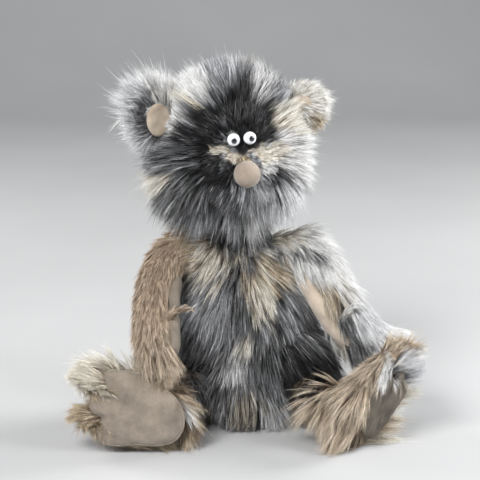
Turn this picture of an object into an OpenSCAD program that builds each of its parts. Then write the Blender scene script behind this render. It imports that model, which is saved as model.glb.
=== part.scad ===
// Long-pile plush toy, seated, with floppy limbs, suede palms and soles and a suede ball nose.
// The toy faces -Y and its own left is +X. The origin is on the floor under the torso's axis.
// Fur panels are drawn as shells whose outer face lies half way up the pile.

/* [Torso] */
// Height of the neck seam above the seat
torso_h = 176; // [170:1:182]
// Radius of the torso at its widest
torso_r = 54; // [50:1:57]
// How much fuller the seat is than the shoulders
torso_pear = 0.16; // [0.1:0.01:0.2]
// Thickness of a fur panel, backing and half of the pile
pile_t = 5; // [4:0.5:6]
// Radius of the weighted pouch in the seat
pouch_r = 26; // [20:1:27]

/* [Neck] */
// Radius of the round neck plug that the head sits on
neck_r = 20; // [18:0.5:21]
// Height of the neck's turning centre above the seat
neck_z = 192; // [190:1:194]

/* [Head] */
// Radius of the head, seen from above
head_r = 78; // [74:1:80]
// Half height of the head
head_half_h = 72; // [68:1:74]
// Centre of the head
head_at = [-20, -5, 267]; // [-40:1:280]
// Turn of the head to the toy's left
head_yaw = 11; // [0:1:15]
// Tilt of the head to the toy's right
head_roll = 4; // [0:1:6]
// Radius of the ball nose
nose_r = 12.2; // [11:0.1:13]
// Radius of each eye ball
eye_r = 6; // [5.5:0.1:6.2]
// Distance between the eye centres
eye_gap = 14.8; // [13.4:0.1:15]

/* [Ears] */
// Radius of an ear
ear_r = 18; // [16:0.5:19]
// Radius of the suede lining in an ear
lining_r = 13.5; // [11:0.5:14]
// Height of an ear's centre above the head's centre
ear_z = 32; // [28:1:34]

/* [Arms] */
// Radius of an arm at the shoulder
shoulder_r = 17; // [15:0.5:18]
// Radius of an arm at the hand
hand_r = 18.5; // [16:0.5:19]
// Right arm's curve: shoulder, two guide points and hand
arm_right_path = [[-44, -4, 166], [-90, -6, 176], [-95, -66, 124], [-84, -101, 88]];
// Left arm's curve: shoulder, two guide points and hand
arm_left_path = [[44, -4, 164], [66, -22, 162], [80, -48, 100], [122, -34, 79]];

/* [Legs] */
// Radius of a leg at the hip
leg_r = 24; // [21:0.5:25]
// Radius of a leg at the ankle
ankle_r = 18; // [16:0.5:19]
// Distance of a hip from the middle of the torso
hip_x = 50; // [49:1:53]

/* [Feet] */
// Middle of the right sole
foot_right_at = [-103, -115, 44]; // [-130:1:60]
// Middle of the left sole
foot_left_at = [118, -97, 40]; // [-110:1:130]
// How far the ankle lies behind the sole
ankle_back = 38; // [37:1:40]
// Radius of a furry toe
toe_r = 9; // [7:0.5:10]

/* [Hidden] */
$fn = 48;

fur_grey = [0.36, 0.36, 0.38];
fur_tan = [0.74, 0.64, 0.52];
suede = [0.76, 0.67, 0.58];
filling = [0.95, 0.95, 0.93];

big = 400;              // larger than the toy
gap = 0.3;              // clearance between parts that slide past each other
joint_gap = 1.2;        // clearance in the recess around a limb's root
ankle_gap = 2.8;        // clearance in a foot's recess, where the leg widens upwards
cover_t = 2.5;          // suede and neck cloth thickness
torso_low = -8;         // the pear's own lowest point, below the flat seat
torso_high = torso_h + 20;
seat_t = 4;             // thickness of the seat panel
hip_at = [hip_x, -22, 34];
neck_at = [-10, -2, neck_z];
pouch_at = [0, 8, 26];
pouch_flat = 0.76;      // height of the pouch as a share of its width
pouch_t = 1.2;          // thickness of the pouch cloth
hip_recess_r = leg_r + 8;
shoulder_recess_r = shoulder_r + joint_gap;
arm_sides = 16;
arm_steps = 12;
palm_right = [1, 0.15, 0];          // way that the right palm faces
palm_left = [-0.62, -0.45, -0.62];  // way that the left palm faces
limb_open = 10;         // a leg cover is open this far behind the hip, an arm cover half as far
palm_below = 75;        // reach of a palm below and above the middle of the forearm
palm_above = 30;
thumb_r = 4.5;
ear_at = [71, 0, ear_z];
ear_thickness = 0.42;   // an ear's thickness as a share of its width
ear_pocket_r = ear_r + 3;
lining_t = 2.5;
nose_at = [0, -84, -12];
nose_skin = 2;
eye_at = [eye_gap / 2, -75.5, 18.5];
eye_tilt = [18, 0, 14]; // where the pupils point: down and to the toy's left
stem_r = 2.2;
stem_len = 16;
washer_r = 6.4;
washer_t = 1.6;
washer_back = 11;       // washer's distance behind the eye centre
pupil_r = 2.2;
pupil_t = 0.8;
palm_cut = 7;           // distance of a palm seam from the arm's axis
ankle_at = [-17, -4, -ankle_back];
sole_t = 5;             // depth of the suede sole panel at its edge

// Foot frames: toe direction and outward normal of the sole
toe_right = [-1, 0, 0];
sole_right = [0, -1, 0];
toe_left = [0.59, 0.42, 0.69];
sole_left = [0.75, -0.6, -0.28];

// Rounded corners of a foot as x, y, depth and radius: x to the toes, y to the inner side
foot_corners = [[20, 20, -15, 14], [24, -26, -16, 15], [-24, -20, -18, 17], [-20, 1, -18, 17], [-17, -4, -27, 14]];
// Toes as root, tip: x to the toes, y to the inner side, z to the sole
foot_toes = [[[20, 20, -15], [44, 26, -14]], [[22, -8, -15], [46, -6, -14]]];

function unit(v) = v / norm(v);
// Columns of a placement: x to the toes, y to the inner side of a left foot, z out of the sole
function foot_basis(toe, sole) =
    let (z = unit(sole), y = unit(cross(z, toe)), x = cross(y, z))
    [[x[0], y[0], z[0]], [x[1], y[1], z[1]], [x[2], y[2], z[2]]];
// The right foot is a mirrored left one
function foot_point(p, side) = side > 0
    ? foot_left_at + foot_basis(toe_left, sole_left) * p
    : foot_right_at + foot_basis(toe_right, sole_right) * [p[0], -p[1], p[2]];
function hip_point(side) = [side * hip_at[0], hip_at[1], hip_at[2]];
function arm_path(side) = side > 0 ? arm_left_path : arm_right_path;
function pear_radius(t) = torso_r * sin(t) * (1 + torso_pear * cos(t));

module foot_frame(side) {
    b = side > 0 ? foot_basis(toe_left, sole_left) : foot_basis(toe_right, sole_right);
    translate(side > 0 ? foot_left_at : foot_right_at)
        multmatrix([concat(b[0], 0), concat(b[1], 0), concat(b[2], 0), [0, 0, 0, 1]])
            mirror([0, side > 0 ? 0 : 1, 0])
                children();
}

module head_frame() {
    translate(head_at)
        rotate([0, -head_roll, head_yaw])
            children();
}

// Half space on the front side (dir = -1) or back side (dir = 1) of the plane y = 0
module half_y(dir) {
    translate([-big / 2, dir > 0 ? 0 : -big, -big / 2])
        cube(big);
}

// ---- torso ----

module pear(inset) {
    half_h = (torso_high - torso_low) / 2 - inset;
    translate([0, 0, (torso_high + torso_low) / 2])
        rotate_extrude()
            polygon([for (i = [0 : 24]) let (t = i * 7.5)
                [pear_radius(t) * (1 - inset / torso_r), -half_h * cos(t)]]);
}

// A ball of radius r, flattened along Z to the half height h
module flat_ball(r, h) {
    rotate_extrude()
        polygon([for (i = [0 : 24]) [r * sin(i * 7.5), -h * cos(i * 7.5)]]);
}

module torso_recesses() {
    for (side = [-1, 1]) {
        translate(hip_point(side))
            sphere(r = hip_recess_r);
        translate(arm_path(side)[0])
            sphere(r = shoulder_recess_r);
    }
}

module torso_panel(dir) {
    difference() {
        intersection() {
            pear(0);
            half_y(dir);
            translate([-big / 2, -big / 2, seat_t])
                cube([big, big, torso_h - seat_t]);
        }
        pear(pile_t);
        torso_recesses();
    }
}

module torso_front_panel() {
    color(fur_grey)
        torso_panel(-1);
}

module torso_back_panel() {
    color(fur_grey)
        torso_panel(1);
}

module torso_seat_panel() {
    color(fur_grey)
        difference() {
            intersection() {
                pear(0);
                translate([-big / 2, -big / 2, 0])
                    cube([big, big, seat_t]);
            }
            torso_recesses();
        }
}

module torso_stuffing() {
    color(filling)
        difference() {
            intersection() {
                pear(pile_t + gap);
                translate([-big / 2, -big / 2, seat_t + gap])
                    cube([big, big, torso_h - seat_t - gap]);
            }
            torso_recesses();
            translate(pouch_at)
                pouch_shape(gap);
        }
}

module pouch_shape(grow) {
    flat_ball(pouch_r + grow, pouch_r * pouch_flat + grow);
}

module seat_pouch() {
    color("ivory")
        translate(pouch_at)
            difference() {
                pouch_shape(0);
                pouch_shape(-pouch_t);
            }
}

module pouch_pellets() {
    color("gainsboro")
        translate(pouch_at)
            pouch_shape(-pouch_t - gap);
}

// ---- neck ----

module neck_plug(r) {
    intersection() {
        translate(neck_at)
            sphere(r = r);
        translate([-big / 2, -big / 2, torso_h + gap])
            cube(big);
    }
}

module neck_cover() {
    color(fur_grey)
        difference() {
            neck_plug(neck_r);
            translate(neck_at)
                sphere(r = neck_r - cover_t);
        }
}

module neck_stuffing() {
    color(filling)
        neck_plug(neck_r - cover_t - gap);
}

// ---- head ----

module head_egg(inset) {
    flat_ball(head_r - inset, head_half_h - inset);
}

module at_ears() {
    for (side = [-1, 1])
        translate([side * ear_at[0], ear_at[1], ear_at[2]])
            children();
}

module at_eye(side) {
    translate([side * eye_at[0], eye_at[1], eye_at[2]])
        children();
}

module eye_stem(r) {
    rotate([-90, 0, 0])
        cylinder(r = r, h = stem_len);
}

module head_panel(dir) {
    difference() {
        head_frame()
            difference() {
                intersection() {
                    head_egg(0);
                    half_y(dir);
                }
                head_egg(pile_t);
                at_ears()
                    sphere(r = ear_pocket_r);
                translate(nose_at)
                    sphere(r = nose_r);
                for (side = [-1, 1])
                    at_eye(side) {
                        sphere(r = eye_r);
                        eye_stem(stem_r);
                    }
            }
        translate(neck_at)
            sphere(r = neck_r + gap);
    }
}

module head_face_panel() {
    color(fur_grey)
        head_panel(-1);
}

module head_back_panel() {
    color(fur_grey)
        head_panel(1);
}

module head_stuffing() {
    color(filling)
        difference() {
            head_frame()
                difference() {
                    head_egg(pile_t + gap);
                    at_ears()
                        sphere(r = ear_pocket_r);
                    translate(nose_at)
                        sphere(r = nose_r + gap);
                    for (side = [-1, 1])
                        at_eye(side)
                            rotate([-90, 0, 0])
                                cylinder(r = washer_r + gap, h = stem_len + 1);
                }
            translate(neck_at)
                sphere(r = neck_r + gap);
        }
}

module nose_cover() {
    color(suede)
        head_frame()
            translate(nose_at)
                difference() {
                    sphere(r = nose_r);
                    sphere(r = nose_r - nose_skin);
                }
}

module nose_filling() {
    color(filling)
        head_frame()
            translate(nose_at)
                sphere(r = nose_r - nose_skin - 0.1);
}

module pupil_plug(r, depth) {
    rotate(eye_tilt)
        rotate([90, 0, 0])
            translate([0, 0, eye_r - depth])
                cylinder(r = r, h = eye_r, $fn = 96);
}

module eye(side) {
    color("white")
        head_frame()
            at_eye(side)
                difference() {
                    union() {
                        sphere(r = eye_r, $fn = 96);
                        eye_stem(stem_r - 0.05);
                    }
                    pupil_plug(pupil_r, pupil_t);
                }
}

module pupil(side) {
    color("black")
        head_frame()
            at_eye(side)
                intersection() {
                    sphere(r = eye_r + 0.1, $fn = 96);
                    pupil_plug(pupil_r - 0.02, pupil_t - 0.02);
                }
}

module eye_washer(side) {
    color("whitesmoke")
        head_frame()
            at_eye(side)
                rotate([-90, 0, 0])
                    translate([0, 0, washer_back])
                        difference() {
                            cylinder(r = washer_r, h = washer_t);
                            translate([0, 0, -1])
                                cylinder(r = stem_r, h = washer_t + 2);
                        }
}

module eye_right() eye(-1);
module eye_left() eye(1);
module pupil_right() pupil(-1);
module pupil_left() pupil(1);
module eye_washer_right() eye_washer(-1);
module eye_washer_left() eye_washer(1);

// ---- ears ----

module lining_disc(grow) {
    rotate([90, 0, 0])
        translate([0, 0, ear_r * ear_thickness - lining_t - grow])
            cylinder(r = lining_r + grow, h = ear_r);
}

module ear_shape() {
    rotate([90, 0, 0])
        flat_ball(ear_r, ear_r * ear_thickness);
}

module ear_back(side) {
    color(fur_grey)
        head_frame()
            translate([side * ear_at[0], ear_at[1], ear_at[2]])
                difference() {
                    ear_shape();
                    lining_disc(0);
                }
}

module ear_lining(side) {
    color(suede)
        head_frame()
            translate([side * ear_at[0], ear_at[1], ear_at[2]])
                intersection() {
                    ear_shape();
                    lining_disc(-0.05);
                }
}

module ear_right_back() ear_back(-1);
module ear_left_back() ear_back(1);
module ear_right_lining() ear_lining(-1);
module ear_left_lining() ear_lining(1);

// ---- arms ----

// A bar with round ends between two points, with a radius at each
module bar(a, b, ra, rb) {
    along(a, b)
        rotate_extrude()
            polygon(concat(
                [for (t = [-90 : 15 : 0]) [ra * cos(t), ra * sin(t)]],
                [for (t = [0 : 15 : 90]) [rb * cos(t), norm(b - a) + rb * sin(t)]]));
}

// Places its children at a, with their Z axis towards b
module along(a, b) {
    v = b - a;
    translate(a)
        rotate([0, acos(v[2] / norm(v)), atan2(v[1], v[0])])
            children();
}

function bezier(p, t) = pow(1 - t, 3) * p[0] + 3 * pow(1 - t, 2) * t * p[1]
    + 3 * (1 - t) * t * t * p[2] + pow(t, 3) * p[3];
function bezier_way(p, t) = unit(pow(1 - t, 2) * (p[1] - p[0])
    + 2 * (1 - t) * t * (p[2] - p[1]) + t * t * (p[3] - p[2]));
function ring(c, way, r) = let (u = unit(cross([0, 1, 0], way)), v = cross(way, u))
    [for (k = [0 : arm_sides - 1])
        c + r * (cos(360 * k / arm_sides) * u + sin(360 * k / arm_sides) * v)];

// An arm: a curved tube that widens to the hand, with round ends
module arm_tube(side, inset) {
    p = arm_path(side);
    r0 = shoulder_r - inset;
    r1 = hand_r - inset;
    n = arm_sides;
    rings = concat(
        [for (a = [-75 : 25 : -25]) ring(p[0] + r0 * sin(a) * bezier_way(p, 0), bezier_way(p, 0), r0 * cos(a))],
        [for (i = [0 : arm_steps]) let (t = i / arm_steps)
            ring(bezier(p, t), bezier_way(p, t), r0 + (r1 - r0) * t)],
        [for (a = [25 : 25 : 75]) ring(p[3] + r1 * sin(a) * bezier_way(p, 1), bezier_way(p, 1), r1 * cos(a))]);
    last = (len(rings) - 1) * n;
    polyhedron(
        points = [for (g = rings) each g],
        faces = concat(
            [[for (j = [0 : n - 1]) j]],
            [for (i = [0 : len(rings) - 2], j = [0 : n - 1])
                let (a = i * n, k = (j + 1) % n) [a + j, a + n + j, a + k]],
            [for (i = [0 : len(rings) - 2], j = [0 : n - 1])
                let (a = i * n, k = (j + 1) % n) [a + k, a + n + j, a + n + k]],
            [[for (j = [n - 1 : -1 : 0]) last + j]]),
        convexity = 6);
}

// The space on the inner side of a forearm that its suede palm fills
module palm_side(side) {
    way = unit(side > 0 ? palm_left : palm_right);
    translate(bezier(arm_path(side), 0.7))
        rotate([0, -asin(way[2]), atan2(way[1], way[0])])
            translate([palm_cut, -big / 2, -palm_below])
                cube([big, big, palm_below + palm_above]);
}

module arm_shell(side) {
    difference() {
        arm_tube(side, 0);
        arm_tube(side, cover_t);
    }
}

module arm_sleeve(side) {
    color(side > 0 ? fur_grey : fur_tan)
        difference() {
            arm_shell(side);
            palm_side(side);
            along(arm_path(side)[0], arm_path(side)[1])
                translate([-big / 2, -big / 2, -big - limb_open / 2])
                    cube(big);
        }
}

module arm_palm(side) {
    color(suede)
        intersection() {
            arm_shell(side);
            palm_side(side);
        }
}

module arm_stuffing(side) {
    color(filling)
        arm_tube(side, cover_t + gap);
}

module arm_thumb(side) {
    root = bezier(arm_path(side), 0.78);
    color(side > 0 ? fur_grey : fur_tan)
        difference() {
            bar(root + [-side * 12, -5, 2], root + [-side * 30, -13, 12], thumb_r, thumb_r);
            arm_tube(side, -0.05);
        }
}

module arm_right_sleeve() arm_sleeve(-1);
module arm_left_sleeve() arm_sleeve(1);
module arm_right_palm() arm_palm(-1);
module arm_left_palm() arm_palm(1);
module arm_right_stuffing() arm_stuffing(-1);
module arm_left_stuffing() arm_stuffing(1);
module arm_right_thumb() arm_thumb(-1);
module arm_left_thumb() arm_thumb(1);

// ---- legs ----

module leg_tube(side, inset) {
    bar(hip_point(side), foot_point(ankle_at, side), leg_r - inset, ankle_r - inset);
}

module leg_sleeve(side) {
    color(fur_tan)
        difference() {
            leg_tube(side, 0);
            leg_tube(side, pile_t);
            along(hip_point(side), foot_point(ankle_at, side))
                translate([-big / 2, -big / 2, -big - limb_open])
                    cube(big);
        }
}

module leg_stuffing(side) {
    color(filling)
        leg_tube(side, pile_t + gap);
}

module leg_right_sleeve() leg_sleeve(-1);
module leg_left_sleeve() leg_sleeve(1);
module leg_right_stuffing() leg_stuffing(-1);
module leg_left_stuffing() leg_stuffing(1);

// ---- feet ----

module foot_block(inset) {
    hull()
        for (c = foot_corners)
            translate([c[0], c[1], c[2]])
                sphere(r = c[3] - inset, $fn = 28);
}

module ankle_recess(side) {
    translate(foot_point(ankle_at, side))
        sphere(r = ankle_r + ankle_gap);
}

module foot_shell() {
    difference() {
        foot_block(0);
        foot_block(cover_t);
    }
}

module sole_slab() {
    translate([-big / 2, -big / 2, -sole_t])
        cube(big);
}

module foot_upper(side) {
    color(fur_tan)
        difference() {
            foot_frame(side)
                difference() {
                    foot_shell();
                    sole_slab();
                }
            ankle_recess(side);
        }
}

module foot_sole(side) {
    color(suede)
        foot_frame(side)
            intersection() {
                foot_shell();
                sole_slab();
            }
}

module foot_toes(side) {
    color(fur_tan)
        foot_frame(side)
            difference() {
                for (toe = foot_toes)
                    bar(toe[0], toe[1], toe_r, toe_r);
                foot_block(-0.05);
            }
}

module foot_stuffing(side) {
    color(filling)
        difference() {
            foot_frame(side)
                foot_block(cover_t + gap);
            ankle_recess(side);
        }
}

module foot_right_upper() foot_upper(-1);
module foot_left_upper() foot_upper(1);
module foot_right_sole() foot_sole(-1);
module foot_left_sole() foot_sole(1);
module foot_right_toes() foot_toes(-1);
module foot_left_toes() foot_toes(1);
module foot_right_stuffing() foot_stuffing(-1);
module foot_left_stuffing() foot_stuffing(1);

torso_front_panel();
torso_back_panel();
torso_seat_panel();
torso_stuffing();
seat_pouch();
pouch_pellets();
neck_cover();
neck_stuffing();
head_face_panel();
head_back_panel();
head_stuffing();
nose_cover();
nose_filling();
eye_right();
eye_left();
pupil_right();
pupil_left();
eye_washer_right();
eye_washer_left();
ear_right_back();
ear_right_lining();
ear_left_back();
ear_left_lining();
arm_right_sleeve();
arm_right_palm();
arm_right_stuffing();
arm_right_thumb();
arm_left_sleeve();
arm_left_palm();
arm_left_stuffing();
arm_left_thumb();
leg_right_sleeve();
leg_right_stuffing();
leg_left_sleeve();
leg_left_stuffing();
foot_right_upper();
foot_right_sole();
foot_right_toes();
foot_right_stuffing();
foot_left_upper();
foot_left_sole();
foot_left_toes();
foot_left_stuffing();
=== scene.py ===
# A seated long-pile plush toy. Skins of rounded lumps and tubes take the place of the CAD solids, and carry
# fur of real tapered strips. The colours are soft patches, placed as they are seen in the camera's view.

import math

import bmesh
import bpy
import numpy as np
from mathutils import Matrix, Vector


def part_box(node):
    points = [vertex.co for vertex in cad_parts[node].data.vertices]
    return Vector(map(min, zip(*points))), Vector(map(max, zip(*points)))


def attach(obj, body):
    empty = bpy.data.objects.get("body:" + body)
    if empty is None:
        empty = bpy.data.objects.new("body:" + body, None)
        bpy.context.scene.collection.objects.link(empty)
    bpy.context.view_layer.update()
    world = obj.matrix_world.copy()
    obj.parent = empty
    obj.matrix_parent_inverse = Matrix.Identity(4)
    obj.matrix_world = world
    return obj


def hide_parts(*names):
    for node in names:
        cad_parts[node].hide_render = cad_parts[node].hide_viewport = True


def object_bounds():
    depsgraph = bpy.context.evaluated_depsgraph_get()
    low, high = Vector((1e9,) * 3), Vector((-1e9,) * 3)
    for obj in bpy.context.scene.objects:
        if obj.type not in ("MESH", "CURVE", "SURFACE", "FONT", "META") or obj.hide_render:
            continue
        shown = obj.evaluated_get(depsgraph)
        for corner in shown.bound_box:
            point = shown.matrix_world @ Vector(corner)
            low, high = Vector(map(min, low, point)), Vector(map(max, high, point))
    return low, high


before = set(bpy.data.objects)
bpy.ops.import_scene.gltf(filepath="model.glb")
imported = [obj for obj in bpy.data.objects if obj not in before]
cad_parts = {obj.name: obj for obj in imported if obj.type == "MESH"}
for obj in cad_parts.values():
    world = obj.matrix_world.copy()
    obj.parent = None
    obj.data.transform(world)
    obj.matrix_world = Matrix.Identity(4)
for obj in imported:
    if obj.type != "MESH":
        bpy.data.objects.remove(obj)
cad_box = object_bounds()

MM = 0.001
SEGMENTS = 5            # straight lengths that make up one hair
ALONG = np.linspace(0, 1, SEGMENTS + 1)     # their ends as shares of the hair's length
MAX_HAIRS = 22000       # hairs in one piece of fur
DENSITY = 1.0
DOWN = np.array([0.0, 0.0, -1.0])
LOW, HIGH = (np.array(corner) / MM for corner in cad_box)
PROUD = 0.03 * (HIGH - LOW) + 9.5       # how far a hair may stand out of the CAD box
VIEW_RISE = math.radians(14)            # the camera's angle above the horizon
VIEW_FAR = 1.8                          # its distance in metres


# ---------------------------------------------------------------- numbers

def unit(a):
    a = np.asarray(a, float)
    return a / np.maximum(np.linalg.norm(a, axis=-1, keepdims=True), 1e-9)


def smooth(low, high, x):
    t = np.clip((x - low) / (high - low), 0, 1)
    return t * t * (3 - 2 * t)


def ripple(points, size, seed):
    """Smooth noise, about -1 to 1, that changes over the given size in mm"""
    r = np.random.default_rng(seed)
    total = np.zeros(len(points))
    for _ in range(8):
        way = unit(r.normal(size=3)) * 2 * np.pi / (size * r.uniform(0.7, 1.8))
        total += np.sin(points @ way + r.uniform(0, 2 * np.pi))
    return total / 2.8


def along_surface(way, normals):
    """The part of a direction that lies in the surface"""
    way = np.broadcast_to(way, normals.shape)
    return unit(way - normals * (way * normals).sum(1, keepdims=True))


def swayed(comb, points, normals, size, amount, seed):
    """Comb directions that wander smoothly over the surface"""
    sway = np.stack([ripple(points, size, seed + k) for k in range(3)], 1) * amount
    return along_surface(comb + sway, normals)


def front_view(points):
    """Where points in mm stand across and up in the camera's view, in mm from the seat's middle"""
    near = 1 + points[:, 1] * MM / VIEW_FAR
    up = math.cos(VIEW_RISE) * points[:, 2] + math.sin(VIEW_RISE) * points[:, 1]
    return np.stack([points[:, 0] / near, up / near], 1)


# ---------------------------------------------------------------- frames of the CAD bodies

def mid(node):
    low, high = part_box(node)
    return np.array((low + high) / 2) / MM


# The turn of the head, the feet and the limbs' curves are those of the CAD, in mm
HEAD_AT = mid("head_stuffing")
HEAD_TURN = Matrix.Rotation(math.radians(11), 4, "Z") @ Matrix.Rotation(math.radians(-4), 4, "Y")
HEAD = Matrix.Translation(HEAD_AT) @ HEAD_TURN


def foot_matrix(at, toe, sole, side):
    """x to the toes, y to the inner side and z out of the sole"""
    z = Vector(sole).normalized()
    y = z.cross(Vector(toe)).normalized()
    x = y.cross(z)
    basis = Matrix((x, y * side, z)).transposed().to_4x4()
    return Matrix.Translation(at) @ basis


FOOT_R = foot_matrix((-103, -115, 44), (-1, 0, 0), (0, -1, 0), -1)
FOOT_L = foot_matrix((118, -97, 40), (0.59, 0.42, 0.69), (0.75, -0.6, -0.28), 1)
ANKLE = (-17, -4, -38)
ARM_R = np.array([[-44, -4, 166], [-90, -6, 176], [-95, -66, 124], [-84, -101, 88]], float)
ARM_L = np.array([[44, -4, 164], [66, -22, 162], [80, -48, 100], [122, -34, 79]], float)
HIP_R = np.array([-50.0, -22.0, 34.0])
HIP_L = np.array([50.0, -22.0, 34.0])


def moved(points, matrix):
    m = np.array(matrix)
    return np.asarray(points, float) @ m[:3, :3].T + m[:3, 3]


def turned(ways, matrix):
    return np.asarray(ways, float) @ np.array(matrix)[:3, :3].T


def back(points, matrix):
    return moved(points, matrix.inverted())


# ---------------------------------------------------------------- meshes

def mesh_of(name, points, faces):
    """A mesh from points in mm"""
    mesh = bpy.data.meshes.new(name)
    mesh.from_pydata((np.asarray(points) * MM).tolist(), [], [list(map(int, f)) for f in faces])
    mesh.validate()
    bm = bmesh.new()
    bm.from_mesh(mesh)
    bmesh.ops.recalc_face_normals(bm, faces=bm.faces)
    bm.to_mesh(mesh)
    bm.free()
    mesh.polygons.foreach_set("use_smooth", [True] * len(mesh.polygons))
    return mesh


def piece(name, mesh, body, material, replaces=()):
    """A piece that rides on a body. It may stand for CAD nodes, which it hides."""
    ob = bpy.data.objects.new(name, mesh)
    bpy.context.scene.collection.objects.link(ob)
    mesh.materials.append(material)
    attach(ob, body)
    if replaces:
        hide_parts(*replaces)


def baked_modifiers(ob):
    """The object's mesh with its modifiers applied; the object is removed"""
    bpy.context.view_layer.update()
    shaped = ob.evaluated_get(bpy.context.evaluated_depsgraph_get())
    mesh = bpy.data.meshes.new_from_object(shaped)
    bpy.data.objects.remove(ob)
    return mesh


def lumps(name, shapes, matrix=Matrix.Identity(4), voxel=2.4, rounds=8):
    """One closed skin round ellipsoids (centre, radii) or bars (end, end, radius, radius), in mm"""
    bm = bmesh.new()
    for shape in shapes:
        if len(shape) == 2:
            balls = [shape]
        else:
            a, b, ra, rb = shape
            balls = [(np.array(a) + (np.array(b) - a) * t, (ra + (rb - ra) * t,) * 3)
                     for t in np.linspace(0, 1, 9)]
        for centre, radii in balls:
            place = Matrix.Translation(Vector(centre)) @ Matrix.Diagonal((*radii, 1))
            bmesh.ops.create_icosphere(bm, subdivisions=3, radius=1, matrix=place)
    mesh = bpy.data.meshes.new(name)
    bm.to_mesh(mesh)
    bm.free()
    ob = bpy.data.objects.new(name, mesh)
    bpy.context.scene.collection.objects.link(ob)
    remesh = ob.modifiers.new("skin", "REMESH")
    remesh.mode = "VOXEL"
    remesh.voxel_size = voxel
    relax = ob.modifiers.new("relax", "SMOOTH")
    relax.factor = 0.6
    relax.iterations = rounds
    out = baked_modifiers(ob)
    out.transform(Matrix.Scale(MM, 4) @ matrix)
    if matrix.determinant() < 0:
        out.flip_normals()
    out.polygons.foreach_set("use_smooth", [True] * len(out.polygons))
    out.name = name
    return out


def arrays(mesh):
    n = len(mesh.vertices)
    co, no = np.empty(n * 3), np.empty(n * 3, np.float32)
    mesh.vertices.foreach_get("co", co)
    mesh.vertex_normals.foreach_get("vector", no)
    return co.reshape(-1, 3) / MM, no.reshape(-1, 3).astype(float)


def scatter(mesh, count, rng):
    """Points spread evenly over a mesh, in mm, with their normals"""
    co, no = arrays(mesh)
    mesh.calc_loop_triangles()
    tri = np.empty(len(mesh.loop_triangles) * 3, np.int32)
    mesh.loop_triangles.foreach_get("vertices", tri)
    tri = tri.reshape(-1, 3)
    a, b, c = co[tri[:, 0]], co[tri[:, 1]], co[tri[:, 2]]
    area = np.linalg.norm(np.cross(b - a, c - a), axis=1)
    pick = rng.choice(len(tri), size=count, p=area / area.sum())
    u, v = rng.random(count), rng.random(count)
    flip = u + v > 1
    u[flip], v[flip] = 1 - u[flip], 1 - v[flip]
    w = 1 - u - v
    t = tri[pick]
    points = co[t[:, 0]] * w[:, None] + co[t[:, 1]] * u[:, None] + co[t[:, 2]] * v[:, None]
    normals = no[t[:, 0]] * w[:, None] + no[t[:, 1]] * u[:, None] + no[t[:, 2]] * v[:, None]
    return points, unit(normals)


def ring_faces(rings, sides, closed=False):
    """The faces of a row of rings of points, with flat ends or closed into a loop"""
    faces = []
    for i in range(rings if closed else rings - 1):
        a, b = i * sides, (i + 1) % rings * sides
        faces += [(a + j, a + (j + 1) % sides, b + (j + 1) % sides, b + j) for j in range(sides)]
    if not closed:
        faces += [tuple(range(sides)), tuple((rings - 1) * sides + j for j in range(sides))]
    return faces


def tube(name, centres, radii, sides=28):
    """A closed round tube along centres"""
    centres, radii = np.asarray(centres, float), np.asarray(radii, float)
    ways = unit(np.gradient(centres, axis=0))
    side = unit(np.cross(ways, [0.0, 1.0, 0.05]))
    up = np.cross(side, ways)
    angle = np.arange(sides) * 2 * np.pi / sides
    ring = np.cos(angle)[None, :, None] * side[:, None] + np.sin(angle)[None, :, None] * up[:, None]
    points = (centres[:, None] + ring * radii[:, None, None]).reshape(-1, 3)
    return mesh_of(name, points, ring_faces(len(centres), sides))


def bezier(path, t):
    t = np.asarray(t, float)[:, None]
    return ((1 - t) ** 3 * path[0] + 3 * (1 - t) ** 2 * t * path[1]
            + 3 * (1 - t) * t ** 2 * path[2] + t ** 3 * path[3])


def round_ended(centres, radii, start, end):
    """A tube's centres and radii with a half ball added at each end, towards start and end"""
    turn = np.radians(np.arange(9, 90, 9))
    head = [centres[0] + start * radii[0] * math.sin(a) for a in turn[::-1]]
    tail = [centres[-1] + end * radii[-1] * math.sin(a) for a in turn]
    return (np.array([*head, *centres, *tail]),
            np.array([*(radii[0] * np.cos(turn[::-1])), *radii, *(radii[-1] * np.cos(turn))]))


# ---------------------------------------------------------------- materials

def material(name, roughness, specular=0.3):
    m = bpy.data.materials.new(name)
    m.use_nodes = True
    shader = m.node_tree.nodes["Principled BSDF"]
    shader.inputs["Roughness"].default_value = roughness
    shader.inputs["Specular IOR Level"].default_value = specular
    return m, m.node_tree.nodes, m.node_tree.links, shader


def noise_node(nodes, links, scale, detail, roughness=0.6):
    coord = nodes.new("ShaderNodeTexCoord")
    node = nodes.new("ShaderNodeTexNoise")
    node.inputs["Scale"].default_value = scale
    node.inputs["Detail"].default_value = detail
    node.inputs["Roughness"].default_value = roughness
    links.new(coord.outputs["Object"], node.inputs["Vector"])
    return node


def bump_node(nodes, links, shader, height, strength, distance):
    bump = nodes.new("ShaderNodeBump")
    bump.inputs["Strength"].default_value = strength
    bump.inputs["Distance"].default_value = distance
    links.new(height, bump.inputs["Height"])
    links.new(bump.outputs["Normal"], shader.inputs["Normal"])


def ramp_node(nodes, links, fac, stops):
    ramp = nodes.new("ShaderNodeValToRGB")
    while len(ramp.color_ramp.elements) < len(stops):
        ramp.color_ramp.elements.new(0.5)
    for element, (place, colour) in zip(ramp.color_ramp.elements, stops):
        element.position = place
        element.color = (*colour, 1)
    links.new(fac, ramp.inputs["Fac"])
    return ramp


def multiply_node(nodes, links, a, b):
    mix = nodes.new("ShaderNodeMix")
    mix.data_type = "RGBA"
    mix.blend_type = "MULTIPLY"
    mix.inputs["Factor"].default_value = 1.0
    links.new(a, mix.inputs["A"])
    links.new(b, mix.inputs["B"])
    return mix.outputs["Result"]


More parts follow.
